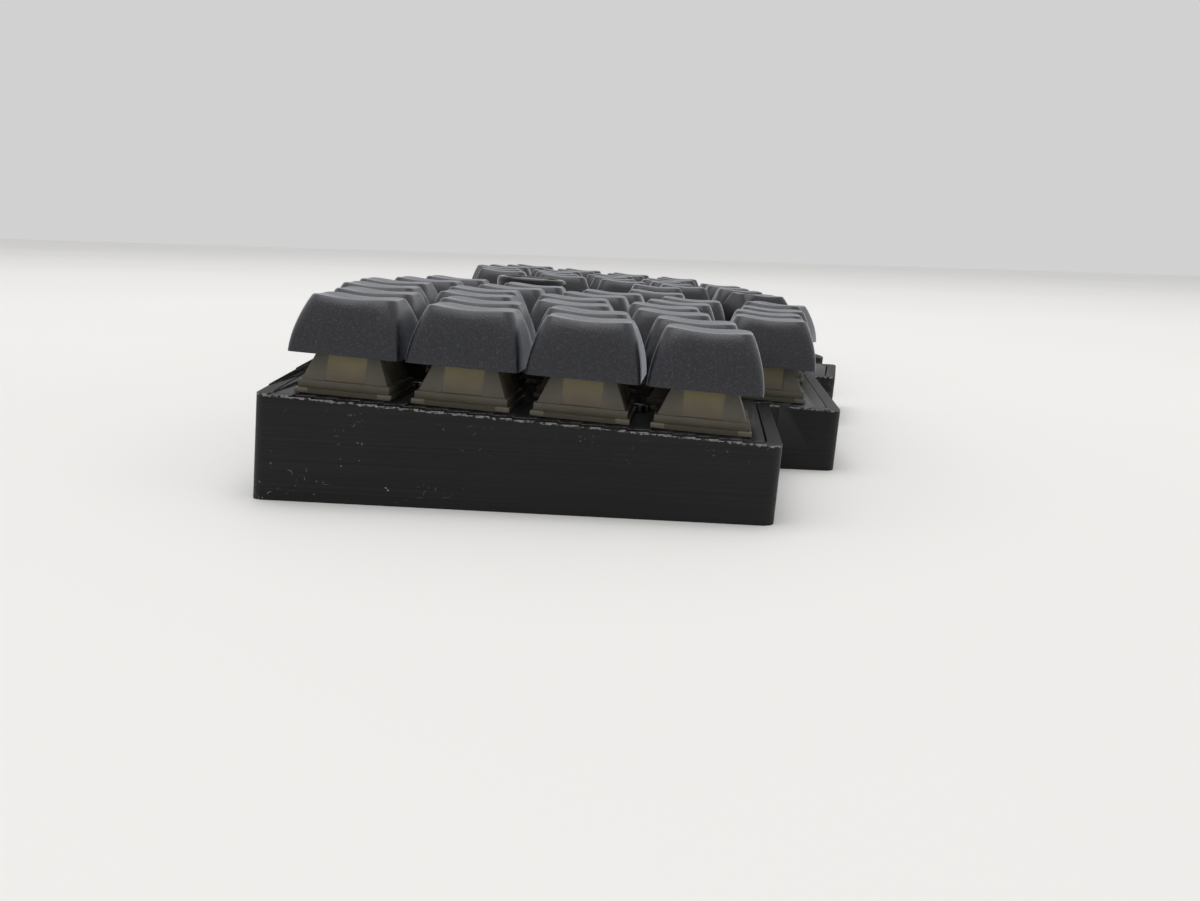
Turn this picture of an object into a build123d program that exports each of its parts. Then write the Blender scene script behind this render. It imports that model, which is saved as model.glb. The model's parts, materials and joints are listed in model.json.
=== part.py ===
from build123d import *
import os

os.makedirs("parts", exist_ok=True)

# A split keyboard in two free-standing halves. Lengths are millimetres and angles degrees.
# +X is the typist's right, +Y the rear, +Z up, and the origin is on the table under the middle.
# The left half is drawn on its own deck plane, x towards the inner side, y towards the rear and
# z out of the deck. The right half is its mirror image, without the knob.

# Key grid: one cell holds one key
pitch = 19.05
columns = 6
rows = 4
stagger_shares = (0, 0.125, 0.375, 0.5, 0.375, 0.25)
middle_share = 0.5
inner_key_shares = (6.75, 1.25)
thumb_key_shares = ((3.0, -0.125), (4.0, -0.15), (5.0, -0.25))
turned_thumb_shares = (6.45, -0.36)
thumb_turn = 21

# How the halves stand
tilt = 3.25
splay = 2.75
deck_front_height = 12.45
outer_corner_span = 306.4

# Case
margin = 3.0
shelf_front = 13.7
inner_step = 5.1
inner_slope = 3.7
inner_shelf_share = 5.6
inner_rear_rise = 3.8
corner_radius = 2.0
corner_limit_share = 0.45
rim_width = 2.2
ledge_width = 2.0
plate_gap = 0.35
plate_thickness = 1.5
floor_thickness = 2.0
block_depth = 40.0

# Circuit board
board_depth = 5.0
board_thickness = 1.6
board_gap = 0.4

# Switch, measured from the deck
plate_hole = 14.0
base_size = 13.9
base_flange = 15.6
base_flange_corner = 0.8
base_flange_thickness = 0.8
base_wall = 1.2
base_floor = 1.0
post_diameter = 3.95
post_length = 3.0
post_floor = 0.6
guide_diameter = 3.3
guide_bore = 2.2
guide_length = 2.8
top_foot = 14.9
top_foot_corner = 0.7
top_crown_width = 11.2
top_crown_depth = 10.2
top_crown_corner = 0.9
top_height = 5.8
top_wall = 0.9
top_ceiling = 1.1
stem_clearance = 0.15
stem_width = 8.8
stem_depth = 5.6
stem_start = 0.4
stem_shoulder = 5.2
stem_wall = 0.6
neck_width = 7.0
neck_end = 7.0
seat_height = 4.0
cross_size = 4.0
cross_thickness = 1.2
cross_length = 3.6
pin_diameter = 1.9
pin_end = 3.0
spring_inner = 3.5
spring_outer = 4.1

# Contact legs, their leaves and the sockets that they plug into
leg_width = 1.3
leg_thickness = 0.3
leg_length = 2.4
leaf_height = 3.4
side_leaf_width = 3.0
rear_leaf_width = 4.0
side_leg = (3.81, 2.54)
rear_leg = (2.54, 5.08)
slot_gap = 0.1
side_leaf_reach = 1.4
socket_width = 3.4
socket_thickness = 1.8
barrel_diameter = 2.9
barrel_reach = 1.4
barrel_gap = 0.1
diode_length = 2.7
diode_width = 1.6
diode_height = 1.2
diode_place = 5.6

# Keycap
cap_size = 18.1
cap_base = 6.55
cap_height = 9.24
cap_inset_sides = 3.5
cap_inset_front = 2.5
cap_bulge_power = 1.7
cap_section_shares = (0, 0.35, 0.7, 1)
cap_foot_corner = 1.1
cap_head_corner = 2.4
cap_wall = 1.4
cap_roof = 2.0
cap_cavity_corner = 0.8
dish_radius = 34.0
dish_depth = 0.9
cap_post_diameter = 5.5
cross_gap = 0.05
cross_end_gap = 0.2

# Plate screws and the inserts that they go into
screw_shares = (
    (1, 1.0625),
    (1, 3.0625),
    (4, 1.4375),
    (4, 3.4375),
    (5.75, -0.5),
    (6.125, 2.0),
    (7.08, 3.9),
)
screw_shank = 1.9
screw_length = 6.0
screw_head = 3.5
screw_head_height = 1.3
screw_head_round = 0.4
screw_socket = 1.3
screw_socket_depth = 0.7
screw_hole = 2.2
insert_outer = 3.1
insert_inner = 2.0
insert_length = 4.0
insert_gap = 0.05
boss_diameter = 4.6
boss_gap = 0.3
blind_depth = 1.0

# Rotary encoder and its knob
knob_shares = (6.75, 3.0)
encoder_width = 12.0
encoder_depth = 12.5
encoder_top = 1.5
encoder_gap = 0.2
bush_diameter = 7.0
bush_top = 6.5
shaft_diameter = 6.0
shaft_gap = 0.05
shaft_top = 14.6
shaft_bottom = 2.2
plunger_diameter = 5.2
plunger_height = 1.4
encoder_floor = 0.6
knob_diameter = 18.0
knob_bottom = 4.0
knob_top = 16.25
knob_round = 1.0
knob_foot_round = 0.4
knob_recess_diameter = 13.0
knob_recess_top = 8.0
knob_bore_roof = 1.4

# Controller board, its cable port and the jack for the cable between the halves
controller_shares = (6.43, 3.26)
controller_width = 18.0
controller_length = 33.0
controller_thickness = 1.6
header_height = 2.0
header_width = 1.6
header_length = 30.0
header_inset = 0.6
chip_size = 7.0
chip_height = 0.9
port_width = 8.9
port_height = 3.2
port_length = 7.4
port_wall = 0.3
port_overhang = 3.7
port_gap = 0.3
tongue_width = 6.7
tongue_thickness = 0.7
tongue_length = 5.6
jack_share = 2.2
jack_length = 11.6
jack_width = 6.0
jack_height = 5.0
jack_nose_diameter = 5.0
jack_nose_length = 3.6
jack_bore = 3.6
jack_bore_depth = 11.0
jack_gap = 0.3


def cell(column_share, row_share, turn=0):
    """A place on the deck, counted in key cells from the outer front corner of the grid."""
    return Location((margin + column_share * pitch, margin + row_share * pitch, 0), (0, 0, turn))


# Places of the keys
key_places = {}
for column, stagger in enumerate(stagger_shares, 1):
    for row in range(1, rows + 1):
        place = cell(column - middle_share, row - middle_share + stagger)
        key_places[f"column_{column}_row_{row}"] = place
key_places["inner"] = cell(*inner_key_shares)
for number, shares in enumerate(thumb_key_shares, 1):
    key_places[f"thumb_{number}"] = cell(*shares)
key_places["thumb_4"] = cell(*turned_thumb_shares, turn=-thumb_turn)

# Outline of one half on its deck
deck_depth = rows * pitch + 2 * margin
tallest_column = stagger_shares.index(max(stagger_shares))
rear_rise = max(stagger_shares) * pitch
half_width = 2 * margin + (inner_key_shares[0] + middle_share) * pitch
shelf_start = (thumb_key_shares[0][0] - middle_share) * pitch
inner_shelf_start = margin + inner_shelf_share * pitch
outline_points = (
    (0, 0),
    (0, deck_depth),
    (margin + tallest_column * pitch, deck_depth + rear_rise),
    (margin + (tallest_column + 1) * pitch, deck_depth + rear_rise),
    (half_width, deck_depth + inner_rear_rise),
    (half_width, -shelf_front - inner_step - inner_slope),
    (inner_shelf_start, -shelf_front - inner_step),
    (inner_shelf_start, -shelf_front),
    (shelf_start, -shelf_front),
    (shelf_start, 0),
)


def half_outline(inset):
    """The outline of one half, drawn in by an inset and with its corners rounded."""
    with BuildSketch() as outline:
        with BuildLine():
            Polyline(*outline_points, close=True)
        make_face()
        if inset:
            offset(amount=-inset, kind=Kind.INTERSECTION)
        fillet(outline.vertices(), radius=min(corner_radius, inner_step * corner_limit_share))
    return outline.sketch


# The deck plane leans by the tilt, then the half turns by the splay. A plain block on it,
# cut off at the table, shows how far it must move for the origin to be in the middle.
corner_place = (-outer_corner_span / 2, 0, deck_front_height)
first_deck = Plane(corner_place).rotated((tilt, 0, 0)).rotated((0, 0, -splay))
with BuildPart() as block:
    with BuildSketch(first_deck):
        add(half_outline(0))
    extrude(amount=-block_depth)
    split(bisect_by=Plane.XY, keep=Keep.TOP)
to_middle = Location((0, -block.part.bounding_box().center().Y, 0))
deck = Plane(first_deck.origin + to_middle.position, first_deck.x_dir, first_deck.z_dir)


def on_deck(places, height=0):
    """The same places as locations in the whole object's frame, at a height over the deck."""
    return [deck.offset(height).location * place for place in places]


def place_copies(unit, places):
    """One part with a copy of a unit at each place."""
    with BuildPart() as copies:
        with Locations(*on_deck(places)):
            add(unit.part)
    return copies.part


def write(piece, name):
    """Label a finished piece and write it under its own name."""
    piece.label = name
    export_step(piece, f"parts/{name}.step")


def write_pair(piece, name):
    """Write a left piece and its mirror image for the right half."""
    write(piece, f"{name}_left")
    with BuildPart() as other:
        mirror(piece, about=Plane.YZ)
    write(other.part, f"{name}_right")


def write_both(piece, name):
    """Write a left piece and its mirror image as one group."""
    with BuildPart() as group:
        add(piece)
        mirror(piece, about=Plane.YZ)
    write(group.part, name)


all_keys = list(key_places.values())
screw_places = [cell(*shares) for shares in screw_shares]
knob_place = cell(*knob_shares)

# Heights that several pieces share, counted from the deck
board_top = -board_depth
board_bottom = board_top - board_thickness
base_cavity_floor = board_top + base_floor
controller_top = board_bottom - header_height
controller_bottom = controller_top - controller_thickness
controller_place = cell(*controller_shares)
port_start = controller_length / 2 + port_overhang - port_length
jack_wall = half_width - rim_width - ledge_width
jack_start = jack_wall - jack_gap - jack_length
jack_middle = board_bottom - jack_height / 2
jack_deck_y = margin + jack_share * pitch

# Case: a tray with a pocket for the plate, a ledge under the plate's edge and screw bosses
with BuildPart() as hollow:
    with BuildSketch(deck.offset(-plate_thickness)):
        add(half_outline(rim_width + ledge_width))
    extrude(amount=-block_depth)
    split(bisect_by=Plane.XY.offset(floor_thickness), keep=Keep.TOP)

with BuildPart() as port_cut:
    port_plane = deck.offset(controller_bottom - port_height / 2)
    with BuildSketch(Plane((port_plane.location * controller_place).position, deck.x_dir, deck.y_dir)):
        port_slot_height = port_height + 2 * port_gap
        SlotOverall(port_width + 2 * port_gap, port_slot_height)
    extrude(amount=controller_length)

with BuildPart() as jack_cut:
    jack_origin = (deck.offset(jack_middle).location * Location((jack_start, jack_deck_y, 0))).position
    jack_plane = Plane(jack_origin, deck.y_dir, deck.x_dir)
    with BuildSketch(jack_plane):
        Circle(jack_nose_diameter / 2 + jack_gap)
    extrude(amount=jack_length + jack_nose_length + ledge_width + rim_width)

with BuildPart() as case:
    add(block.part.moved(to_middle))
    with BuildSketch(deck):
        add(half_outline(rim_width))
    extrude(amount=-plate_thickness, mode=Mode.SUBTRACT)
    add(hollow.part, mode=Mode.SUBTRACT)
    add(port_cut.part, mode=Mode.SUBTRACT)
    add(jack_cut.part, mode=Mode.SUBTRACT)
    with BuildSketch(deck.offset(-plate_thickness)):
        with Locations(*screw_places):
            Circle(boss_diameter / 2)
    extrude(amount=-block_depth)
    split(bisect_by=Plane.XY, keep=Keep.TOP)
    with Locations(*on_deck(screw_places, -plate_thickness)):
        Hole(insert_outer / 2 + insert_gap, depth=insert_length)
        Hole(screw_shank / 2 + insert_gap, depth=insert_length + blind_depth)
write_pair(case.part, "case")

# Switch plate, level with the case's rim. Only the left one has a hole for the encoder.
with BuildPart() as plain_plate:
    with BuildSketch(deck):
        add(half_outline(rim_width + plate_gap))
        with Locations(*all_keys):
            Rectangle(plate_hole, plate_hole, mode=Mode.SUBTRACT)
        with Locations(*screw_places):
            Circle(screw_hole / 2, mode=Mode.SUBTRACT)
    extrude(amount=-plate_thickness)
with BuildPart() as knob_plate:
    add(plain_plate.part)
    with BuildSketch(deck):
        with Locations(knob_place):
            Rectangle(encoder_width + 2 * encoder_gap, encoder_depth + 2 * encoder_gap)
    extrude(amount=-plate_thickness, mode=Mode.SUBTRACT)
write(knob_plate.part, "switch_plate_left")
with BuildPart() as other_plate:
    mirror(plain_plate.part, about=Plane.YZ)
write(other_plate.part, "switch_plate_right")

# Circuit board, open round the bosses, the switch posts and the socket barrels
leg_points = ((-side_leg[0], side_leg[1]), rear_leg)
with BuildSketch() as board_holes:
    with Locations(*screw_places):
        Circle(boss_diameter / 2 + boss_gap)
    with Locations(*all_keys):
        Circle(post_diameter / 2 + barrel_gap)
        with Locations(*leg_points):
            Circle(barrel_diameter / 2 + barrel_gap)
with BuildPart() as circuit_board:
    with BuildSketch(deck.offset(board_top)):
        add(half_outline(rim_width + ledge_width + board_gap))
        add(board_holes.sketch, mode=Mode.SUBTRACT)
    extrude(amount=-board_thickness)
write_pair(circuit_board.part, "circuit_board")

# Switch base: a flange on the plate, an open box through it, and a post down through the board
with BuildPart() as base_unit:
    with BuildSketch():
        RectangleRounded(base_flange, base_flange, base_flange_corner)
    extrude(amount=base_flange_thickness)
    with BuildSketch():
        Rectangle(base_size, base_size)
    extrude(amount=board_top)
    with BuildSketch(Plane.XY.offset(base_cavity_floor)):
        Rectangle(base_size - 2 * base_wall, base_size - 2 * base_wall)
    extrude(amount=base_flange_thickness - base_cavity_floor, mode=Mode.SUBTRACT)
    with BuildSketch(Plane.XY.offset(base_cavity_floor)):
        Circle(guide_diameter / 2)
    extrude(amount=guide_length)
    with BuildSketch(Plane.XY.offset(board_top)):
        Circle(post_diameter / 2)
    extrude(amount=-post_length)
    with BuildSketch(Plane.XY.offset(base_cavity_floor + guide_length)):
        Circle(guide_bore / 2)
    extrude(amount=-(guide_length + base_floor + post_length - post_floor), mode=Mode.SUBTRACT)
    with BuildSketch(Plane.XY.offset(base_cavity_floor)):
        with Locations(*leg_points):
            Rectangle(leg_width + 2 * slot_gap, leg_thickness + 2 * slot_gap)
    extrude(amount=-base_floor, mode=Mode.SUBTRACT)
bases = place_copies(base_unit, all_keys)
write_pair(bases, "switch_bases")

# Switch top: a tapered hood on the flange, with a window for the stem
top_start = base_flange_thickness
top_end = top_start + top_height
with BuildPart() as top_unit:
    with BuildSketch(Plane.XY.offset(top_start)):
        RectangleRounded(top_foot, top_foot, top_foot_corner)
    with BuildSketch(Plane.XY.offset(top_end)):
        RectangleRounded(top_crown_width, top_crown_depth, top_crown_corner)
    loft(ruled=True)
    with BuildSketch(Plane.XY.offset(top_start)):
        Rectangle(top_foot - 2 * top_wall, top_foot - 2 * top_wall)
    with BuildSketch(Plane.XY.offset(top_end - top_ceiling)):
        Rectangle(top_crown_width - 2 * top_wall, top_crown_depth - 2 * top_wall)
    loft(ruled=True, mode=Mode.SUBTRACT)
    with BuildSketch(Plane.XY.offset(top_end)):
        Rectangle(neck_width + 2 * stem_clearance, stem_depth + 2 * stem_clearance)
    extrude(amount=-top_ceiling, mode=Mode.SUBTRACT)
write_pair(place_copies(top_unit, all_keys), "switch_tops")

# Spring, drawn as the sleeve that it fills round the guide tube
with BuildPart() as spring_unit:
    with BuildSketch(Plane.XY.offset(base_cavity_floor)):
        Circle(spring_outer / 2)
        Circle(spring_inner / 2, mode=Mode.SUBTRACT)
    extrude(amount=seat_height - base_cavity_floor)
write_both(place_copies(spring_unit, all_keys), "switch_springs")

# Stem: a hollow slider that holds the spring, a neck through the window and a cross on top
with BuildPart() as stem_unit:
    with BuildSketch(Plane.XY.offset(stem_start)):
        Rectangle(stem_width, stem_depth)
    extrude(amount=stem_shoulder - stem_start)
    with BuildSketch(Plane.XY.offset(stem_shoulder)):
        Rectangle(neck_width, stem_depth)
    extrude(amount=neck_end - stem_shoulder)
    with BuildSketch(Plane.XY.offset(neck_end)):
        Rectangle(cross_size, cross_thickness)
        Rectangle(cross_thickness, cross_size)
    extrude(amount=cross_length)
    with BuildSketch(Plane.XY.offset(stem_start)):
        Rectangle(stem_width - 2 * stem_wall, stem_depth - 2 * stem_wall)
    extrude(amount=seat_height - stem_start, mode=Mode.SUBTRACT)
    with BuildSketch(Plane.XY.offset(-pin_end)):
        Circle(pin_diameter / 2)
    extrude(amount=pin_end + seat_height)


def cap_section(height_share):
    """Width and depth of the keycap at a share of its height: its sides bulge outwards."""
    drawn_in = height_share**cap_bulge_power
    return cap_size - 2 * cap_inset_sides * drawn_in, cap_size - 2 * cap_inset_front * drawn_in


# Keycap: bulging sides, a dished top, an open underside and a post with a cross socket
cap_top = cap_base + cap_height
roof_bottom = cap_top - cap_roof
with BuildPart() as cap_unit:
    for share in cap_section_shares:
        corner = cap_foot_corner + share * (cap_head_corner - cap_foot_corner)
        with BuildSketch(Plane.XY.offset(cap_base + share * cap_height)):
            RectangleRounded(*cap_section(share), corner)
    loft()
    with Locations((0, 0, cap_top - dish_depth + dish_radius)):
        Sphere(dish_radius, mode=Mode.SUBTRACT)
    with BuildSketch(Plane.XY.offset(cap_base)):
        RectangleRounded(cap_size - 2 * cap_wall, cap_size - 2 * cap_wall, cap_cavity_corner)
    with BuildSketch(Plane.XY.offset(roof_bottom)):
        roof_width, roof_depth = cap_section((cap_height - cap_roof) / cap_height)
        RectangleRounded(roof_width - 2 * cap_wall, roof_depth - 2 * cap_wall, cap_cavity_corner)
    loft(ruled=True, mode=Mode.SUBTRACT)
    with BuildSketch(Plane.XY.offset(neck_end + cross_gap)):
        Circle(cap_post_diameter / 2)
    extrude(amount=roof_bottom - neck_end - cross_gap)
    with BuildSketch(Plane.XY.offset(neck_end + cross_gap)):
        Rectangle(cross_size + 2 * cross_gap, cross_thickness + 2 * cross_gap)
        Rectangle(cross_thickness + 2 * cross_gap, cross_size + 2 * cross_gap)
    extrude(amount=cross_length - cross_gap + cross_end_gap, mode=Mode.SUBTRACT)

# Keys: each is a keycap pressed on its stem
left_keys = {}
for name, place in key_places.items():
    with BuildPart() as key:
        with Locations(*on_deck([place])):
            add(cap_unit.part)
            add(stem_unit.part)
    left_keys[name] = key.part
    write(key.part, f"key_left_{name}")

right_groups = {f"keys_right_column_{column}": f"column_{column}_" for column in range(1, columns + 1)}
right_groups["key_right_inner"] = "inner"
right_groups["keys_right_thumb"] = "thumb"
for group_name, beginning in right_groups.items():
    with BuildPart() as group:
        for name, part in left_keys.items():
            if name.startswith(beginning):
                mirror(part, about=Plane.YZ)
    write(group.part, group_name)

# Contacts: two bent metal pieces in each switch, each with a leaf inside and a leg below
side_x, side_y = leg_points[0]
rear_x, rear_y = leg_points[1]
with BuildPart() as contact_unit:
    with BuildSketch(Plane.XY.offset(base_cavity_floor)):
        with Locations(*leg_points):
            Rectangle(leg_width, leg_thickness)
    extrude(amount=-(base_floor + leg_length))
    with BuildSketch(Plane.XY.offset(base_cavity_floor)):
        with Locations((side_x - side_leaf_reach / 2, side_y)):
            Rectangle(side_leaf_reach + leg_thickness, leg_thickness)
    extrude(amount=leg_thickness)
    with BuildSketch(Plane.XY.offset(base_cavity_floor)):
        with Locations((side_x - side_leaf_reach, side_y)):
            Rectangle(leg_thickness, side_leaf_width)
        with Locations((rear_x, rear_y)):
            Rectangle(rear_leaf_width, leg_thickness)
    extrude(amount=leaf_height)
write_both(place_copies(contact_unit, all_keys), "switch_contacts")

# Sockets under the board, with a barrel up into it for each leg
with BuildPart() as socket_unit:
    with BuildSketch(Plane.XY.offset(board_bottom)):
        with Locations(*leg_points):
            Circle(socket_width / 2)
        make_hull()
    extrude(amount=-socket_thickness)
    with BuildSketch(Plane.XY.offset(board_bottom)):
        with Locations(*leg_points):
            Circle(barrel_diameter / 2)
    extrude(amount=barrel_reach)
    with BuildSketch(Plane.XY.offset(board_bottom + barrel_reach)):
        with Locations(*leg_points):
            Rectangle(leg_width + 2 * slot_gap, leg_thickness + 2 * slot_gap)
    extrude(amount=-(barrel_reach + socket_thickness), mode=Mode.SUBTRACT)
write_both(place_copies(socket_unit, all_keys), "switch_sockets")

# Diodes under the board, one for each switch
with BuildPart() as diode_unit:
    with BuildSketch(Plane.XY.offset(board_bottom)):
        with Locations((0, -diode_place)):
            Rectangle(diode_length, diode_width)
    extrude(amount=-diode_height)
write_both(place_copies(diode_unit, all_keys), "diodes")

# Plate screws, with a hexagon socket in a domed head
with BuildPart() as screw_unit:
    with BuildSketch():
        Circle(screw_head / 2)
    extrude(amount=screw_head_height)
    fillet(screw_unit.edges().filter_by(GeomType.CIRCLE).sort_by(Axis.Z)[-1], radius=screw_head_round)
    with BuildSketch():
        Circle(screw_shank / 2)
    extrude(amount=-screw_length)
    with BuildSketch(Plane.XY.offset(screw_head_height)):
        RegularPolygon(screw_socket / 2, 6)
    extrude(amount=-screw_socket_depth, mode=Mode.SUBTRACT)
write_both(place_copies(screw_unit, screw_places), "plate_screws")

with BuildPart() as insert_unit:
    with BuildSketch(Plane.XY.offset(-plate_thickness)):
        Circle(insert_outer / 2)
        Circle(insert_inner / 2, mode=Mode.SUBTRACT)
    extrude(amount=-insert_length)
write_both(place_copies(insert_unit, screw_places), "threaded_inserts")

# Encoder: body with its bush, a click plunger, the shaft on it and the knob on the shaft
plunger_bottom = board_top + encoder_floor
plunger_top = -shaft_bottom
shaft_radius = shaft_diameter / 2
with BuildPart() as encoder_unit:
    with BuildSketch(Plane.XY.offset(board_top)):
        Rectangle(encoder_width, encoder_depth)
    extrude(amount=encoder_top - board_top)
    with BuildSketch(Plane.XY.offset(encoder_top)):
        Circle(bush_diameter / 2)
    extrude(amount=bush_top - encoder_top)
    with BuildSketch(Plane.XY.offset(bush_top)):
        Circle(shaft_radius + shaft_gap)
    extrude(amount=-(bush_top - plunger_bottom), mode=Mode.SUBTRACT)

with BuildPart() as plunger_unit:
    with BuildSketch(Plane.XY.offset(plunger_top)):
        Circle(plunger_diameter / 2)
    extrude(amount=-plunger_height)

with BuildPart() as shaft_unit:
    with BuildSketch(Plane.XY.offset(plunger_top)):
        Circle(shaft_radius)
    extrude(amount=shaft_top - plunger_top)

with BuildPart() as knob_unit:
    with BuildSketch(Plane.XY.offset(knob_bottom)):
        Circle(knob_diameter / 2)
    extrude(amount=knob_top - knob_bottom)
    knob_rims = knob_unit.edges().filter_by(GeomType.CIRCLE).sort_by(Axis.Z)
    fillet(knob_rims[-1], radius=knob_round)
    fillet(knob_unit.edges().filter_by(GeomType.CIRCLE).sort_by(Axis.Z)[0], radius=knob_foot_round)
    with BuildSketch(Plane.XY.offset(knob_bottom)):
        Circle(knob_recess_diameter / 2)
    extrude(amount=knob_recess_top - knob_bottom, mode=Mode.SUBTRACT)
    with BuildSketch(Plane.XY.offset(knob_recess_top)):
        Circle(shaft_radius + shaft_gap)
    extrude(amount=knob_top - knob_bore_roof - knob_recess_top, mode=Mode.SUBTRACT)

for unit, name in (
    (encoder_unit, "encoder_body"),
    (plunger_unit, "encoder_plunger"),
    (shaft_unit, "encoder_shaft"),
    (knob_unit, "encoder_knob"),
):
    write(place_copies(unit, [knob_place]), name)

# Controller board with its pin headers up to the main board and its chip underneath
with BuildPart() as controller_unit:
    with BuildSketch(Plane.XY.offset(controller_top)):
        Rectangle(controller_width, controller_length)
    extrude(amount=-controller_thickness)
    header_spread = controller_width - header_width - 2 * header_inset
    with BuildSketch(Plane.XY.offset(controller_top)):
        with GridLocations(header_spread, 0, 2, 1):
            Rectangle(header_width, header_length)
    extrude(amount=header_height)
    with BuildSketch(Plane.XY.offset(controller_bottom)):
        Rectangle(chip_size, chip_size)
    extrude(amount=-chip_height)
write_both(place_copies(controller_unit, [controller_place]), "controller_boards")

# Cable port under the controller's rear end
with BuildPart() as port_unit:
    port_middle = controller_bottom - port_height / 2
    with BuildSketch(Plane((0, port_start, port_middle), (1, 0, 0), (0, 1, 0))):
        SlotOverall(port_width, port_height)
    extrude(amount=port_length)
    with BuildSketch(Plane((0, port_start + port_wall, port_middle), (1, 0, 0), (0, 1, 0))):
        SlotOverall(port_width - 2 * port_wall, port_height - 2 * port_wall)
    extrude(amount=port_length, mode=Mode.SUBTRACT)
    with BuildSketch(Plane((0, port_start, port_middle), (1, 0, 0), (0, 1, 0))):
        Rectangle(tongue_width, tongue_thickness)
    extrude(amount=tongue_length)
write_both(place_copies(port_unit, [controller_place]), "usb_ports")

# Jack for the cable between the halves, in the inner wall
with BuildPart() as jack:
    with BuildSketch(jack_plane):
        Rectangle(jack_width, jack_height)
    extrude(amount=jack_length)
    with BuildSketch(jack_plane.offset(jack_length)):
        Circle(jack_nose_diameter / 2)
    extrude(amount=jack_nose_length)
    with BuildSketch(jack_plane.offset(jack_length + jack_nose_length)):
        Circle(jack_bore / 2)
    extrude(amount=-jack_bore_depth, mode=Mode.SUBTRACT)
write_both(jack.part, "link_jacks")

print("Deck of the left half:", deck)
print("Middle of the knob on the deck:", on_deck([knob_place])[0].position)
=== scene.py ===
# %% [markdown]
# The keyboard around its fixed frame
#
# Two halves of a split keyboard stand on a pale table. The frame holds every solid at its real
# place and size. This lesson dresses it: the printed cases and plates, the bulging keycaps and
# their stems, the milky switch hoods, the polished knob and the wound springs are made anew. The
# other pieces keep their solids and get a finish. Everything is in metres, in the frame's axes.

import json
from math import cos, radians, sin

import bmesh
import bpy
from mathutils import Matrix, Vector


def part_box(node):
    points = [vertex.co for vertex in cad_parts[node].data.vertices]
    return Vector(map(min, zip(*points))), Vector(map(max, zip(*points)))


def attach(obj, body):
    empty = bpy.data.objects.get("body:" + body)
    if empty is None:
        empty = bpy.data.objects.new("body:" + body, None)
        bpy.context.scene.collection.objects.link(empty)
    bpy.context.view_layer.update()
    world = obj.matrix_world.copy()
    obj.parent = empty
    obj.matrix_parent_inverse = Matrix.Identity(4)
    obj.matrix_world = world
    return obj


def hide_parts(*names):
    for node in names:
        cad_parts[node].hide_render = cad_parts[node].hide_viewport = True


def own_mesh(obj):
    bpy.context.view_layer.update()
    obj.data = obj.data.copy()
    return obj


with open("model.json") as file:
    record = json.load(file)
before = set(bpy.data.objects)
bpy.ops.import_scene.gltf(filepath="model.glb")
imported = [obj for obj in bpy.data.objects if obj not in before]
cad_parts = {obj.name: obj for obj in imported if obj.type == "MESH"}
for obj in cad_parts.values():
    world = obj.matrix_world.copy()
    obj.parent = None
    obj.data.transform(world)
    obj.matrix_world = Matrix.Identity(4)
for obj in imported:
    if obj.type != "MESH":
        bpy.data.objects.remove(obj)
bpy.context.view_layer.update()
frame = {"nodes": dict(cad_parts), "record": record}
nodes = frame["nodes"]
held = frame["record"]["behaviour"]["bodies"]
body_of = {node: body for body, group in held.items() for node in group}

# %% [markdown]
# The deck plane
#
# Each half has a deck that rises to the rear and turns a little outwards. All its pieces stand
# square to that deck, so one matrix carries a piece drawn flat at the origin to its place. The
# right half is a mirror image. The switches and caps are the same from side to side, so they are
# turned there instead of mirrored, and their faces keep pointing outwards.

# %% Deck and key places
MM = 0.001
PITCH = 19.05 * MM
MARGIN = 3.0 * MM
TILT = radians(3.25)
SPLAY = radians(2.75)
OUTER_CORNER = 153.2 * MM
DECK_FRONT = 12.45 * MM
STAGGER = (0, 0.125, 0.375, 0.5, 0.375, 0.25)
ROWS = 4
THUMB_CELLS = ((3.0, -0.125), (4.0, -0.15), (5.0, -0.25))
INNER_CELL = (6.75, 1.25)
TURNED_CELL = (6.45, -0.36)
KNOB_CELL = (6.75, 3.0)
THUMB_TURN = radians(-21)
KNOB_BOTTOM = 4.0 * MM
KNOB_TOP = 16.25 * MM


def cell(column, row):
    """A place on the deck, counted in key cells."""
    return Vector((MARGIN + column * PITCH, MARGIN + row * PITCH, 0))


lean = Matrix.Rotation(-SPLAY, 4, "Z") @ Matrix.Rotation(TILT, 4, "X")
deck_normal = (lean @ Vector((0, 0, 1))).normalized()

# The knob's box gives the one length that the layout leaves open: where the deck begins in y.
knob_low, knob_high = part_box("encoder_knob")
knob_middle = lean @ (cell(*KNOB_CELL) + Vector((0, 0, (KNOB_BOTTOM + KNOB_TOP) / 2)))
deck_start = (knob_low.y + knob_high.y) / 2 - knob_middle.y
left_deck = Matrix.Translation((-OUTER_CORNER, deck_start, DECK_FRONT)) @ lean
mirror_x = Matrix.Scale(-1, 4, (1, 0, 0))

key_cells = {}
for column, stagger in enumerate(STAGGER, 1):
    for row in range(1, ROWS + 1):
        key_cells[f"column_{column}_row_{row}"] = (cell(column - 0.5, row - 0.5 + stagger), 0)
key_cells["inner"] = (cell(*INNER_CELL), 0)
for number, place in enumerate(THUMB_CELLS, 1):
    key_cells[f"thumb_{number}"] = (cell(*place), 0)
key_cells["thumb_4"] = (cell(*TURNED_CELL), THUMB_TURN)


def stand(place, turn, side):
    """The matrix that stands a piece on the left or the right deck."""
    left = left_deck @ Matrix.Translation(place) @ Matrix.Rotation(turn, 4, "Z")
    return left if side == "left" else mirror_x @ left @ mirror_x


print("keys on each half", len(key_cells), "deck starts at", round(deck_start, 5))

# %% [markdown]
# Working as by hand
#
# Most pieces start as a primitive that is shaped in edit mode. This session has no mouse, so
# corners, edges and faces are picked by a rule about their place or direction, and the next
# operator acts on them, as it would on a selection made with the cursor.

# %% Helpers for edit mode
FACING = 0.9
SAME_PLACE = 0.01 * MM


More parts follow.
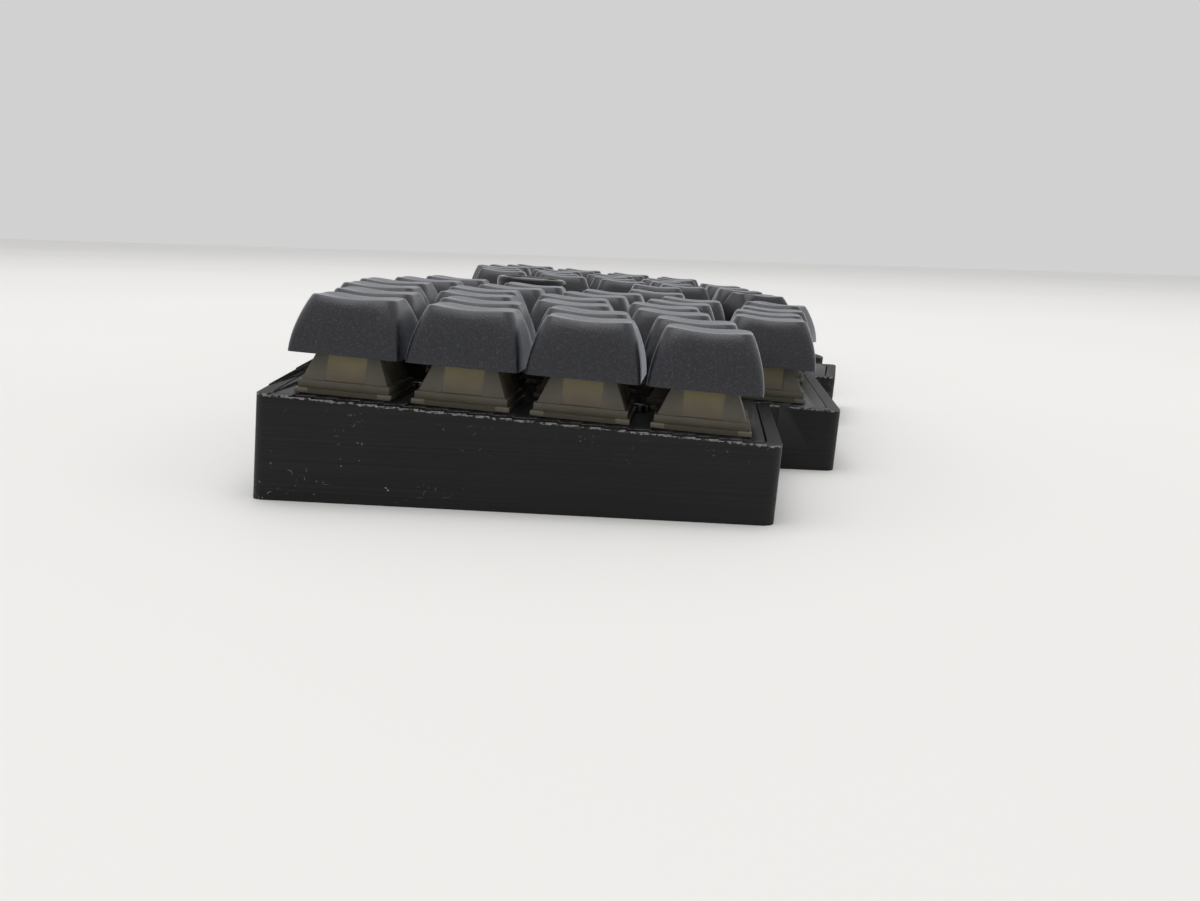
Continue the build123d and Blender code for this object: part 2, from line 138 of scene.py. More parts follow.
def clear_selection():
    if bpy.context.object and bpy.context.object.mode != "OBJECT":
        bpy.ops.object.mode_set(mode="OBJECT")
    bpy.ops.object.select_all(action="DESELECT")


def add_block(name, size, middle=(0, 0, 0)):
    """A block at its size and place, left in edit mode."""
    clear_selection()
    bpy.ops.mesh.primitive_cube_add(size=1, location=middle)
    block = bpy.context.object
    block.name = name
    block.scale = size
    bpy.ops.object.transform_apply(location=True, rotation=False, scale=True)
    bpy.ops.object.mode_set(mode="EDIT")
    return block


def add_round(name, radius, low, high, sides=48):
    """A closed round bar between two heights, left in edit mode."""
    clear_selection()
    middle = (0, 0, (low + high) / 2)
    bpy.ops.mesh.primitive_cylinder_add(vertices=sides, radius=radius, depth=high - low, location=middle)
    bar = bpy.context.object
    bar.name = name
    bpy.ops.object.transform_apply(location=True, rotation=False, scale=False)
    bpy.ops.object.mode_set(mode="EDIT")
    return bar


def middle_of(part):
    """The middle of a vertex, an edge or a face."""
    if isinstance(part, bmesh.types.BMVert):
        return part.co
    if isinstance(part, bmesh.types.BMEdge):
        return (part.verts[0].co + part.verts[1].co) / 2
    return part.calc_center_median()


def pick(kind, rule):
    """Select the visible vertices, edges or faces that a rule chooses, and count them."""
    bpy.ops.mesh.select_mode(type=kind)
    bpy.ops.mesh.select_all(action="DESELECT")
    mesh = bpy.context.object.data
    shape = bmesh.from_edit_mesh(mesh)
    shape.normal_update()
    parts = {"VERT": shape.verts, "EDGE": shape.edges, "FACE": shape.faces}[kind]
    chosen = [part for part in parts if not part.hide and rule(part)]
    for part in chosen:
        part.select_set(True)
    shape.select_flush_mode()
    bmesh.update_edit_mesh(mesh)
    return len(chosen)


def faces_up(face):
    return face.normal.z > FACING


def faces_down(face):
    return face.normal.z < -FACING


def cut_all(point, normal):
    """Cut through everything by a plane, keeping both sides."""
    bpy.ops.mesh.select_all(action="SELECT")
    bpy.ops.mesh.bisect(plane_co=point, plane_no=normal)


def draw_out(height):
    """Extrude the picked faces along z."""
    bpy.ops.mesh.extrude_region_move(TRANSFORM_OT_translate={"value": (0, 0, height)})


def near(value, target):
    return abs(value - target) < SAME_PLACE


# %% Helpers for whole pieces
DOUBLES = 0.002 * MM


def take_up(piece):
    """Make a piece the only selected one."""
    clear_selection()
    piece.select_set(True)
    bpy.context.view_layer.objects.active = piece


def apply_modifier(piece, kind, **settings):
    """Add a modifier and apply it at once."""
    take_up(piece)
    modifier = piece.modifiers.new(kind.lower(), kind)
    for key, value in settings.items():
        setattr(modifier, key, value)
    bpy.ops.object.modifier_apply(modifier=modifier.name)


def cut_away(piece, cutter, keep=False):
    """Take one closed shape out of another."""
    apply_modifier(piece, "BOOLEAN", operation="DIFFERENCE", solver="EXACT", object=cutter)
    if not keep:
        bpy.data.objects.remove(cutter)


def smooth_over(piece, angle):
    """Merge doubles, point the faces outwards and shade smoothly up to an angle."""
    take_up(piece)
    bpy.ops.object.mode_set(mode="EDIT")
    bpy.ops.mesh.select_all(action="SELECT")
    bpy.ops.mesh.remove_doubles(threshold=DOUBLES)
    bpy.ops.mesh.normals_make_consistent(inside=False)
    bpy.ops.object.mode_set(mode="OBJECT")
    bpy.ops.object.shade_smooth_by_angle(angle=radians(angle))
    print(piece.name, "faces", len(piece.data.polygons))


def copy_to(unit, name, matrix):
    """A copy of a unit with its own mesh, with its place in its mesh."""
    twin = bpy.data.objects.new(name, unit.data.copy())
    bpy.context.scene.collection.objects.link(twin)
    twin.data.transform(matrix)
    return twin


def join_up(pieces, name):
    """Join pieces in one object."""
    clear_selection()
    for piece in pieces:
        piece.select_set(True)
    bpy.context.view_layer.objects.active = pieces[0]
    bpy.ops.object.join()
    pieces[0].name = name
    return pieces[0]


# %% [markdown]
# Finishes as node graphs
#
# Every finish starts from the Principled shader. A few helpers add what most of them need: the
# place on the piece in metres, noise, a ramp from dark to light and a bump. What is the same all
# over a surface is typed on the shader's own socket, and only what varies is linked to it.

# %% Helpers for finishes
class Finish:
    """A material, its node tree and its shader."""

    def __init__(self, name, roughness, specular=0.5, metallic=0.0):
        self.material = bpy.data.materials.new(name)
        self.material.use_nodes = True
        self.tree = self.material.node_tree
        self.shader = self.tree.nodes["Principled BSDF"]
        self.shader.inputs["Roughness"].default_value = roughness
        self.shader.inputs["Specular IOR Level"].default_value = specular
        self.shader.inputs["Metallic"].default_value = metallic
        self.place = self.add("ShaderNodeTexCoord").outputs["Object"]
        print("finish", name)

    def add(self, kind, links=None, **settings):
        """A node with its settings, its inputs linked or typed."""
        node = self.tree.nodes.new(kind)
        for key, value in settings.items():
            setattr(node, key, value)
        for socket, value in (links or {}).items():
            if isinstance(value, bpy.types.NodeSocket):
                self.tree.links.new(value, node.inputs[socket])
            else:
                node.inputs[socket].default_value = value
        return node

    def math(self, operation, first, second=0.0):
        return self.add("ShaderNodeMath", {0: first, 1: second}, operation=operation).outputs[0]

    def noise(self, scale, detail=3.0, place=None):
        links = {"Vector": place or self.place, "Scale": scale, "Detail": detail}
        return self.add("ShaderNodeTexNoise", links).outputs["Fac"]

    def stretched(self, scale):
        """The place, stretched by a scale for each axis."""
        return self.add("ShaderNodeMapping", {"Vector": self.place, "Scale": scale}).outputs["Vector"]

    def between(self, value, low, high, out_low=0.0, out_high=1.0):
        """A value between two limits, mapped to a new range and held there."""
        links = {0: value, 1: low, 2: high, 3: out_low, 4: out_high}
        return self.add("ShaderNodeMapRange", links).outputs[0]

    def ramp(self, factor, stops):
        node = self.add("ShaderNodeValToRGB", {"Fac": factor})
        band = node.color_ramp
        for end, (position, colour) in ((0, stops[0]), (1, stops[-1])):
            band.elements[end].position = position
            band.elements[end].color = (*colour, 1)
        for position, colour in stops[1:-1]:
            band.elements.new(position).color = (*colour, 1)
        return node.outputs["Color"]

    def mix(self, factor, first, second):
        """One colour laid over another by a factor."""
        node = self.add("ShaderNodeMix", {0: factor, 6: first}, data_type="RGBA")
        node.inputs[7].default_value = (*second, 1)
        return node.outputs[2]

    def link(self, value, socket):
        self.tree.links.new(value, self.shader.inputs[socket])

    def bump(self, height, distance, strength=1.0):
        links = {"Height": height, "Distance": distance, "Strength": strength}
        self.link(self.add("ShaderNodeBump", links).outputs["Normal"], "Normal")

    def height_over_deck(self):
        """Height over the deck plane. The right deck mirrors the left one, so only x's size counts."""
        parts = self.add("ShaderNodeSeparateXYZ", {0: self.place}).outputs
        total = self.math("MULTIPLY", self.math("ABSOLUTE", parts["X"]), -deck_normal.x)
        total = self.math("ADD", total, self.math("MULTIPLY", parts["Y"], deck_normal.y))
        total = self.math("ADD", total, self.math("MULTIPLY", parts["Z"], deck_normal.z))
        return self.math("SUBTRACT", total, left_deck.translation.dot(deck_normal))


def tone(level, red=0, green=0, blue=0):
    """A colour from a screen level out of 255, with small shifts, as linear light."""
    screen = [(level + shift) / 255 for shift in (red, green, blue)]
    return tuple(((part + 0.055) / 1.055) ** 2.4 for part in screen)


# %% [markdown]
# Printed plastic
#
# The cases and plates are printed in level layers of 0.2 mm. On the walls each layer is a fine
# level line of its own shade. Along the upper edge the layers end one after the other, and the
# shine on their ends is a painted highlight: short pale dashes in the colour. Dust and stray
# threads of plastic lie on the walls in patches, most of them low down. The layers and the dust
# follow the height over the table, and the painted highlight follows the height over the deck
# as well.

# %% Printed finish
LAYER = 0.2 * MM
LAYER_RELIEF = 0.06 * MM
DUSTY_BELOW = 2 * MM
CLEANER_ABOVE = 11 * MM
DASH_WAVE = 0.16 * MM
DASH_TOP = 0.3 * MM
DASH_END = 0.42 * MM
DASH_SHARE = 0.7


def printed_finish(name, dark, light, specular, smoothest, dusty):
    look = Finish(name, 0.5, specular)
    height = look.add("ShaderNodeSeparateXYZ", {0: look.place}).outputs["Z"]
    level = look.math("DIVIDE", height, LAYER)
    layer_shade = look.noise(1.0, 3, look.stretched((12, 12, 3600)))
    cloud = look.noise(55.0, 3)
    shade = look.math("ADD", look.math("MULTIPLY", layer_shade, 0.8), look.math("MULTIPLY", cloud, 0.2))
    colour = look.ramp(shade, [(0.36, dark), (0.66, light)])
    # The pale dashes along the upper edge are a painted highlight on the layer ends.
    colour = painted_edge_highlights(look, level, colour)
    colour = dust(look, colour, look.between(height, DUSTY_BELOW, CLEANER_ABOVE, dusty, dusty / 4))
    look.link(colour, "Base Color")
    look.link(look.between(layer_shade, 0.35, 0.65, smoothest, smoothest + 0.16), "Roughness")
    ridges = look.math("PINGPONG", level, 0.5)
    grain = look.math("MULTIPLY", look.noise(4200.0, 2), 0.5)
    look.bump(look.math("ADD", ridges, grain), LAYER_RELIEF, 0.7)
    return look.material


def painted_edge_highlights(look, level, colour):
    """Painted highlight: pale broken dashes on upright faces, just under the deck."""
    wave = look.between(look.noise(1300.0, 2), 0.3, 0.7, -DASH_WAVE, DASH_WAVE)
    over = look.math("ADD", look.height_over_deck(), wave)
    normal = look.add("ShaderNodeNewGeometry").outputs["Normal"]
    steepness = look.add("ShaderNodeSeparateXYZ", {0: normal}).outputs["Z"]
    wall = look.between(look.math("ABSOLUTE", steepness), 0.5, 0.3)
    edge = look.between(over, -DASH_END, -DASH_TOP)
    broken = look.between(look.noise(1500.0, 2), 0.38, 0.56)
    layer_end = look.between(look.math("FRACT", level), 0.2, 0.4, 0.15, 1.0)
    near_edge = look.math("MULTIPLY", wall, edge)
    dashed = look.math("MULTIPLY", broken, layer_end)
    amount = look.math("MULTIPLY", near_edge, dashed)
    # tone(172) is the colour of the painted highlight.
    return look.mix(look.math("MULTIPLY", amount, DASH_SHARE), colour, tone(172))


def dust(look, colour, amount):
    """Pale specks, short curls and a few level scratches, in patches.

    A speck is the middle of a cell, and a curl is a piece of the ring round another cell's middle.
    """
    specks = look.add("ShaderNodeTexVoronoi", {"Vector": look.place, "Scale": 620.0}).outputs["Distance"]
    speck = look.between(specks, 0.1, 0.06)
    rings = look.add("ShaderNodeTexVoronoi", {"Vector": look.place, "Scale": 420.0}).outputs["Distance"]
    ring = look.between(look.math("ABSOLUTE", look.math("SUBTRACT", rings, 0.3)), 0.03, 0.012, 0.0, 0.6)
    curl = look.math("MULTIPLY", ring, look.between(look.noise(1100.0, 1), 0.56, 0.62))
    streaks = look.noise(1.0, 1, look.stretched((260, 260, 5200)))
    scratch = look.math("MULTIPLY", look.between(streaks, 0.74, 0.78), 0.5)
    marks = look.math("MAXIMUM", look.math("MAXIMUM", speck, curl), scratch)
    patch = look.between(look.noise(110.0, 2), 0.54, 0.62)
    share = look.math("MULTIPLY", look.math("MULTIPLY", marks, patch), amount)
    return look.mix(share, colour, tone(175, 0, -2, -6))


case_black = printed_finish(
    "printed_case",
    dark=tone(14, blue=1),
    light=tone(29, blue=1),
    specular=0.25,
    smoothest=0.42,
    dusty=0.75,
)
plate_black = printed_finish(
    "printed_plate",
    dark=tone(20, blue=1),
    light=tone(38, blue=1),
    specular=0.35,
    smoothest=0.42,
    dusty=0.3,
)

# %% [markdown]
# Printed steps on the deck
#
# The deck rises by 1 in 18, so each level layer ends 3.5 mm behind the one below, and the deck is
# really a flight of very low steps. One tread and its riser are drawn from a plane, an Array
# repeats them up the slope, and an extrusion makes the flight a solid that is taken out of copies
# of the case and the plate.

# %% The flight of steps
STEP_COUNT = 40
STEP_WIDTH = 230 * MM
STEP_ROOM = 6 * MM
HALF_WAY = 70 * MM
BEFORE_DECK = 40 * MM
STEP_MERGE = 0.01 * MM
SOLID_MERGE = 0.001 * MM
FLAT_WITHIN = radians(0.05)


def make_steps():
    """The room over a flight of steps up the left deck, as a cutter."""
    uphill = Vector((-deck_normal.x, -deck_normal.y, 0)).normalized()
    run = LAYER * deck_normal.z / deck_normal.xy.length
    clear_selection()
    bpy.ops.mesh.primitive_plane_add(size=1)
    steps = bpy.context.object
    steps.name = "steps"
    steps.scale = (run, STEP_WIDTH, 1)
    bpy.ops.object.transform_apply(location=False, rotation=False, scale=True)
    bpy.ops.object.mode_set(mode="EDIT")
    pick("EDGE", lambda edge: near(middle_of(edge).x, run / 2))
    draw_out(LAYER)
    bpy.ops.object.mode_set(mode="OBJECT")
    apply_modifier(
        steps,
        "ARRAY",
        count=STEP_COUNT,
        use_relative_offset=False,
        use_constant_offset=True,
        constant_offset_displace=(run, 0, LAYER),
        use_merge_vertices=True,
        merge_threshold=STEP_MERGE,
    )
    bpy.ops.object.mode_set(mode="EDIT")
    bpy.ops.mesh.select_all(action="SELECT")
    draw_out(STEP_ROOM)
    bpy.ops.mesh.select_all(action="SELECT")
    bpy.ops.mesh.normals_make_consistent(inside=False)
    bpy.ops.object.mode_set(mode="OBJECT")
    start = left_deck @ Vector((HALF_WAY, -BEFORE_DECK, 0))
    start.z = LAYER * int(start.z / LAYER)
    on_deck = left_deck.translation.dot(deck_normal) - start.z * deck_normal.z
    across = Vector((-uphill.y, uphill.x, 0))
    along = (on_deck - across.dot(start) * deck_normal.dot(across)) / deck_normal.dot(uphill)
    place = uphill * (along + run / 2) + across * across.dot(start) + Vector((0, 0, start.z))
    turned = Matrix((uphill, across, (0, 0, 1))).transposed().to_4x4()
    steps.matrix_world = Matrix.Translation(place) @ turned
    take_up(steps)
    bpy.ops.object.transform_apply(location=True, rotation=True, scale=True)
    print("steps", STEP_COUNT, "run", round(run / MM, 2), "mm")
    return steps


steps = make_steps()


# %% Cases and plates with their steps
def stepped_copy(node, material):
    """A copy of a printed solid with the steps cut in its deck."""
    piece = bpy.data.objects.new(f"printed_{node}", nodes[node].data.copy())
    bpy.context.scene.collection.objects.link(piece)
    take_up(piece)
    bpy.ops.object.mode_set(mode="EDIT")
    bpy.ops.mesh.select_all(action="SELECT")
    bpy.ops.mesh.remove_doubles(threshold=SOLID_MERGE)
    bpy.ops.mesh.dissolve_limited(angle_limit=FLAT_WITHIN)
    bpy.ops.object.mode_set(mode="OBJECT")
    cut_away(piece, steps, keep=True)
    smooth_over(piece, 28)
    piece.data.materials.clear()
    piece.data.materials.append(material)
    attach(piece, "root")
    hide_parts(node)
    return piece


def printed_half(side):
    stepped_copy(f"case_{side}", case_black)
    stepped_copy(f"switch_plate_{side}", plate_black)


printed_half("left")
steps.data.transform(mirror_x)
steps.data.flip_normals()
printed_half("right")
bpy.data.objects.remove(steps)

# %% [markdown]
# Keycap plastic
#
# The caps are dark slate plastic with a fine eroded texture: a matt grain under 0.4 mm that turns
# pale where one looks along the tops. Two sizes of noise in the bump give the grain, its crests
# are a little paler, and a sheen lifts the surface where it is seen from the side. The stem under
# the cap is clear amber plastic.

# %% Keycap and stem finishes
def keycap_finish():
    look = Finish("keycap_slate", 0.4, 0.55)
    fine = look.noise(5200.0, 2)
    grain = look.noise(2900.0, 2)
    crests = look.math("ADD", look.math("MULTIPLY", fine, 0.35), look.math("MULTIPLY", grain, 0.65))
    stops = [(0.36, tone(19, 0, 1, 8)), (0.54, tone(29, 0, 1, 8)), (0.66, tone(56, 0, 1, 7))]
    look.link(look.ramp(crests, stops), "Base Color")
    look.link(look.between(look.noise(150.0), 0.3, 0.7, 0.28, 0.36), "Roughness")
    look.shader.inputs["Sheen Weight"].default_value = 1.0
    look.shader.inputs["Sheen Roughness"].default_value = 0.2
    look.shader.inputs["Sheen Tint"].default_value = (0.88, 0.92, 1.0, 1)
    look.bump(crests, 0.05 * MM, 0.9)
    return look.material


def stem_finish():
    look = Finish("stem_amber", 0.35)
    look.link(look.ramp(look.noise(420.0), [(0.3, (0.5, 0.3, 0.07)), (0.7, (0.62, 0.4, 0.12))]), "Base Color")
    look.bump(look.noise(1800.0, 2), 0.01 * MM, 0.4)
    return look.material


slate = keycap_finish()
amber = stem_finish()

# %% [markdown]
# Milky switch plastic
#
# The hoods and bases are moulded in a cloudy, faintly olive plastic, and the amber stem glows
# through the middle of each face, more towards the crown. A real volume would be slow and would
# not travel with the model. So the glow is painted: the faces over the stem have a warmer, paler
# finish of their own, the colour follows the height over the deck, darker towards the foot and
# paler towards the crown, and a little light is let through under the surface.
# The clips at the corners are painted paler, as painted light, because they stand out into the light.

# %% Housing finishes
def milky_finish(name, dark, middle, pale):
    look = Finish(name, 0.42, 0.35)
    over = look.height_over_deck()
    # Darker towards the foot, paler towards the crown; on the panels over the stem the paler top is painted
    # glow.
    rise = look.between(over, 0.4 * MM, 5.6 * MM)
    cloud = look.between(look.noise(230.0), 0.0, 1.0, -0.2, 0.2)
    shade = look.math("ADD", rise, cloud)
    look.link(look.ramp(shade, [(0.1, dark), (0.5, middle), (0.95, pale)]), "Base Color")
    look.link(look.between(look.noise(700.0, 2), 0.3, 0.7, 0.36, 0.48), "Roughness")
    look.shader.inputs["Subsurface Weight"].default_value = 0.2
    look.shader.inputs["Subsurface Radius"].default_value = (1.0, 0.8, 0.5)
    look.shader.inputs["Subsurface Scale"].default_value = 1.2 * MM
    look.bump(look.noise(1500.0, 2), 0.02 * MM, 0.4)
    return look.material


milky = milky_finish(
    "housing_milky",
    dark=tone(86, 1, -4, -17),
    middle=tone(104, 1, -3, -15),
    pale=tone(116, 0, -3, -13),
)
# The painted glow of the stem through the plastic: warmer and paler than the plain hood.
painted_glow = milky_finish(
    "housing_over_stem",
    dark=tone(92, 4, -6, -22),
    middle=tone(108, 4, -6, -22),
    pale=tone(140, 2, -8, -38),
)
# The clips' paler tones are painted light, for clips that stand out into the light.
clip_painted_light = milky_finish(
    "housing_clips_painted_light",
    dark=tone(116, 0, -4, -18),
    middle=tone(126, 0, -4, -18),
    pale=tone(130, 0, -4, -16),
)

# %% [markdown]
# The keycap
#
# A block is rounded at its four upright corners and cut into bands. Each band is drawn in a
# little more than the one below, so that the sides bulge, and its corners grow rounder towards
# the top. The rim is bevelled while the top is still flat, and then the top is dished by pulling
# its middle down with the falloff of a parabola. The underside is hollowed by an inset and an
# extrusion.

# %% Keycap measures
CAP_SIZE = 18.1 * MM
CAP_BASE = 6.55 * MM
CAP_HEIGHT = 9.24 * MM
CAP_TOP = CAP_BASE + CAP_HEIGHT
SIDE_INSET = 3.5 * MM
FRONT_INSET = 2.5 * MM
REAR_INSET = 2.0 * MM
BULGE = 1.85
BANDS = (0, 0.12, 0.26, 0.4, 0.53, 0.65, 0.76, 0.86, 1.0)
FOOT_CORNER = 1.1 * MM
HEAD_CORNER = 3.3 * MM
GRID = (-0.18, -0.09, 0, 0.09, 0.18)
RIM = 0.45 * MM
DISH_DEPTH = 0.9 * MM
DISH_REACH = 7.9 * MM
CAP_WALL = 1.4 * MM
CAP_ROOF = 2.0 * MM


def drawn_in(share):
    """The cap's width and depth at a share of its height, as parts of its foot's."""
    amount = share**BULGE / CAP_SIZE
    return 1 - 2 * SIDE_INSET * amount, 1 - (FRONT_INSET + REAR_INSET) * amount


def set_back(share):
    """How far a band lies behind the foot's middle, because the rear leans in less."""
    return (FRONT_INSET - REAR_INSET) / 2 * share**BULGE


# %% The keycap's sides
def shape_band(share):
    """Round the corners of one band and draw it in."""
    height = CAP_BASE + share * CAP_HEIGHT
    wide, deep = drawn_in(share)
    corner = (FOOT_CORNER + share * (HEAD_CORNER - FOOT_CORNER)) / FOOT_CORNER
    half = CAP_SIZE / 2
    inside = half - FOOT_CORNER - SAME_PLACE
    for x_side in (-1, 1):
        for y_side in (-1, 1):
            pick(
                "VERT",
                lambda v: near(v.co.z, height)
                and v.co.x * x_side > inside
                and v.co.y * y_side > inside,
            )
            tip = (half * x_side, half * y_side, height)
            bpy.ops.transform.resize(value=(corner / wide, corner / deep, 1), center_override=tip)
    pick("VERT", lambda v: near(v.co.z, height))
    bpy.ops.transform.resize(value=(wide, deep, 1), center_override=(0, 0, height))
    bpy.ops.transform.translate(value=(0, set_back(share), 0))


def shape_cap_sides():
    cap = add_block("cap_unit", (CAP_SIZE, CAP_SIZE, CAP_HEIGHT), (0, 0, CAP_BASE + CAP_HEIGHT / 2))
    pick("EDGE", lambda edge: abs(edge.verts[0].co.z - edge.verts[1].co.z) > RIM)
    bpy.ops.mesh.bevel(offset=FOOT_CORNER, segments=5, affect="EDGES")
    for share in BANDS[1:-1]:
        cut_all((0, 0, CAP_BASE + share * CAP_HEIGHT), (0, 0, 1))
    for share in GRID:
        cut_all((share * CAP_SIZE, 0, 0), (1, 0, 0))
        cut_all((0, share * CAP_SIZE, 0), (0, 1, 0))
    for share in BANDS:
        shape_band(share)
    return cap


# %% The keycap's rim, dish and hollow
def round_rim():
    pick("FACE", faces_up)
    bpy.ops.mesh.region_to_loop()
    bpy.ops.mesh.bevel(offset=RIM, segments=4, affect="EDGES")


def dish_top():
    pick("VERT", lambda v: v.co.z > CAP_TOP - 1.5 * RIM)
    bpy.ops.mesh.hide(unselected=True)
    pick("VERT", lambda v: v.co.xy.length < RIM)
    bpy.ops.transform.translate(
        value=(0, 0, -DISH_DEPTH),
        use_proportional_edit=True,
        proportional_edit_falloff="INVERSE_SQUARE",
        proportional_size=DISH_REACH,
    )
    bpy.ops.mesh.reveal(select=False)


def hollow_cap():
    pick("FACE", faces_down)
    bpy.ops.mesh.inset(thickness=CAP_WALL)
    draw_out(CAP_HEIGHT - CAP_ROOF)
    share = 1 - CAP_ROOF / CAP_HEIGHT
    bpy.ops.transform.resize(value=(*drawn_in(share), 1), center_override=(0, 0, CAP_TOP - CAP_ROOF))
    bpy.ops.transform.translate(value=(0, set_back(share), 0))


cap_unit = shape_cap_sides()
round_rim()
dish_top()
hollow_cap()
smooth_over(cap_unit, 35)
cap_unit.data.materials.append(slate)

# %% [markdown]
# Post and stem
#
# Under the roof of the cap a round post has a cross-shaped socket, and the stem's cross sits in
# it. The stem is a block whose top is drawn up into a neck, with a cross on it and a hollow for
# the spring below. A cross is a block whose four sides are pulled out of a thin square bar.

# %% Post and stem
STEM_SIZE = (8.8 * MM, 5.6 * MM)
STEM_START = 0.4 * MM
SHOULDER = 5.2 * MM
NECK_WIDTH = 7.0 * MM
NECK_END = 7.0 * MM
CROSS = 4.0 * MM
CROSS_THICK = 1.2 * MM
CROSS_LENGTH = 3.6 * MM
POST_RADIUS = 2.75 * MM
SEAT = 4.0 * MM
STEM_WALL = 0.6 * MM
POST_EDGE = 0.3 * MM
CLEARANCE = 0.05 * MM


def add_cross(name, spare):
    """A cross-shaped bar over the neck, larger all round by a spare."""
    thick = CROSS_THICK + 2 * spare
    length = CROSS_LENGTH + spare
    cross = add_block(name, (thick, thick, length), (0, 0, NECK_END + length / 2))
    pick("FACE", lambda face: abs(face.normal.z) < 0.5)
    bpy.ops.mesh.extrude_faces_move(TRANSFORM_OT_shrink_fatten={"value": (CROSS - CROSS_THICK) / 2})
    bpy.ops.object.mode_set(mode="OBJECT")
    return cross


def make_stem():
    tall = SHOULDER - STEM_START
    stem = add_block("stem_unit", (*STEM_SIZE, tall), (0, 0, STEM_START + tall / 2))
    pick("FACE", faces_up)
    draw_out(0)
    bpy.ops.transform.resize(value=(NECK_WIDTH / STEM_SIZE[0], 1, 1), center_override=(0, 0, SHOULDER))
    draw_out(NECK_END - SHOULDER)
    pick("FACE", lambda face: faces_down(face) and middle_of(face).z < STEM_START + STEM_WALL)
    bpy.ops.mesh.inset(thickness=STEM_WALL)
    draw_out(SEAT - STEM_START)
    bpy.ops.object.mode_set(mode="OBJECT")
    stem = join_up([stem, add_cross("stem_cross", 0)], "stem_unit")
    smooth_over(stem, 30)
    return stem


def make_post():
    post = add_round("post_unit", POST_RADIUS, NECK_END + CLEARANCE, CAP_TOP - CAP_ROOF, 32)
    pick("FACE", faces_down)
    bpy.ops.mesh.bevel(offset=POST_EDGE, segments=2, affect="EDGES")
    bpy.ops.object.mode_set(mode="OBJECT")
    cut_away(post, add_cross("socket", CLEARANCE))
    smooth_over(post, 30)
    post.data.materials.append(slate)
    return post


stem_unit = make_stem()
stem_unit.data.materials.append(amber)
cap_unit = join_up([cap_unit, make_post()], "cap_unit")

# %% [markdown]
# The hood of a switch
#
# A low block gives the foot band. Its top is drawn in a little, extruded to the crown and drawn
# in again, which makes the sloping faces. Two cuts each way mark the panel that the stem glows
# through, and that panel is sunk a little. The crown has a window for the stem. Four small clips
# at the corners of the base's flange are joined to the hood, because they catch the light with it.

# %% Hood measures
HOOD_FOOT = 14.9 * MM
HOOD_START = 0.8 * MM
HOOD_BAND = 1.3 * MM
HOOD_LEDGE = 0.45 * MM
HOOD_END = 6.6 * MM
CROWN = (11.2 * MM, 10.2 * MM)
PANEL_HALF = 3.4 * MM
PANEL_FRAME = 0.2 * MM
PANEL_DEPTH = 0.15 * MM
BESIDE_WINDOW = 0.9 * MM
HOOD_WALL = 0.9 * MM
HOOD_CEILING = 1.1 * MM
WINDOW = (7.3 * MM, 5.9 * MM)
FLANGE = 15.6 * MM
CLIP = (2.2 * MM, 0.8 * MM, 0.8 * MM)
CLIP_STEP = 0.08 * MM
CRISP_EDGE = 0.08 * MM


def is_panel(face):
    """The middle panel on each sloping side."""
    spot = middle_of(face)
    beside = min(abs(spot.x), abs(spot.y))
    return abs(face.normal.z) < 0.8 and spot.z > HOOD_START + HOOD_BAND and beside < HOOD_LEDGE


def glows(face):
    """A panel on a slope, and not a side of the window in the crown: a face with the painted glow."""
    spot = middle_of(face)
    outwards = max(abs(spot.x), abs(spot.y))
    return is_panel(face) and outwards > WINDOW[0] / 2 + BESIDE_WINDOW


# %% Shape the hood
def shape_hood():
    hood = add_block("hood_unit", (HOOD_FOOT, HOOD_FOOT, HOOD_BAND), (0, 0, HOOD_START + HOOD_BAND / 2))
    pick("FACE", faces_up)
    bpy.ops.mesh.inset(thickness=HOOD_LEDGE)
    draw_out(HOOD_END - HOOD_START - HOOD_BAND)
    upper = HOOD_FOOT - 2 * HOOD_LEDGE
    bpy.ops.transform.resize(value=(CROWN[0] / upper, CROWN[1] / upper, 1), center_override=(0, 0, HOOD_END))
    for side in (-PANEL_HALF, PANEL_HALF):
        cut_all((side, 0, 0), (1, 0, 0))
        cut_all((0, side, 0), (0, 1, 0))
    print("panels", pick("FACE", is_panel))
    bpy.ops.mesh.inset(thickness=PANEL_FRAME, depth=-PANEL_DEPTH, use_individual=True)
    bpy.ops.object.mode_set(mode="OBJECT")
    apply_modifier(
        hood,
        "BEVEL",
        width=CRISP_EDGE,
        segments=2,
        limit_method="ANGLE",
        angle_limit=radians(35),
    )
    return hood


def hood_hollow():
    """The room inside the hood, as a cutter."""
    inner = HOOD_FOOT - 2 * HOOD_WALL
    roof = HOOD_END - HOOD_CEILING
    hollow = add_block("hood_hollow", (inner, inner, HOOD_BAND), (0, 0, HOOD_START))
    pick("FACE", faces_up)
    draw_out(roof - HOOD_START - HOOD_BAND / 2)
    value = ((CROWN[0] - 2 * HOOD_WALL) / inner, (CROWN[1] - 2 * HOOD_WALL) / inner, 1)
    bpy.ops.transform.resize(value=value, center_override=(0, 0, roof))
    bpy.ops.object.mode_set(mode="OBJECT")
    return hollow


def add_clip(x_side, turn):
    """A small clip at a corner of the base's flange, a step proud of both its faces."""
    corner = FLANGE / 2 + CLIP_STEP
    place = (x_side * (corner - CLIP[0] / 2), CLIP[1] / 2 - corner, (CLIP_STEP + CLIP[2]) / 2)
    clip = add_block("clip", CLIP, place)
    bpy.ops.object.mode_set(mode="OBJECT")
    apply_modifier(clip, "BEVEL", width=CRISP_EDGE, segments=2)
    clip.data.materials.append(clip_painted_light)
    clip.data.transform(Matrix.Rotation(turn, 4, "Z"))
    return clip


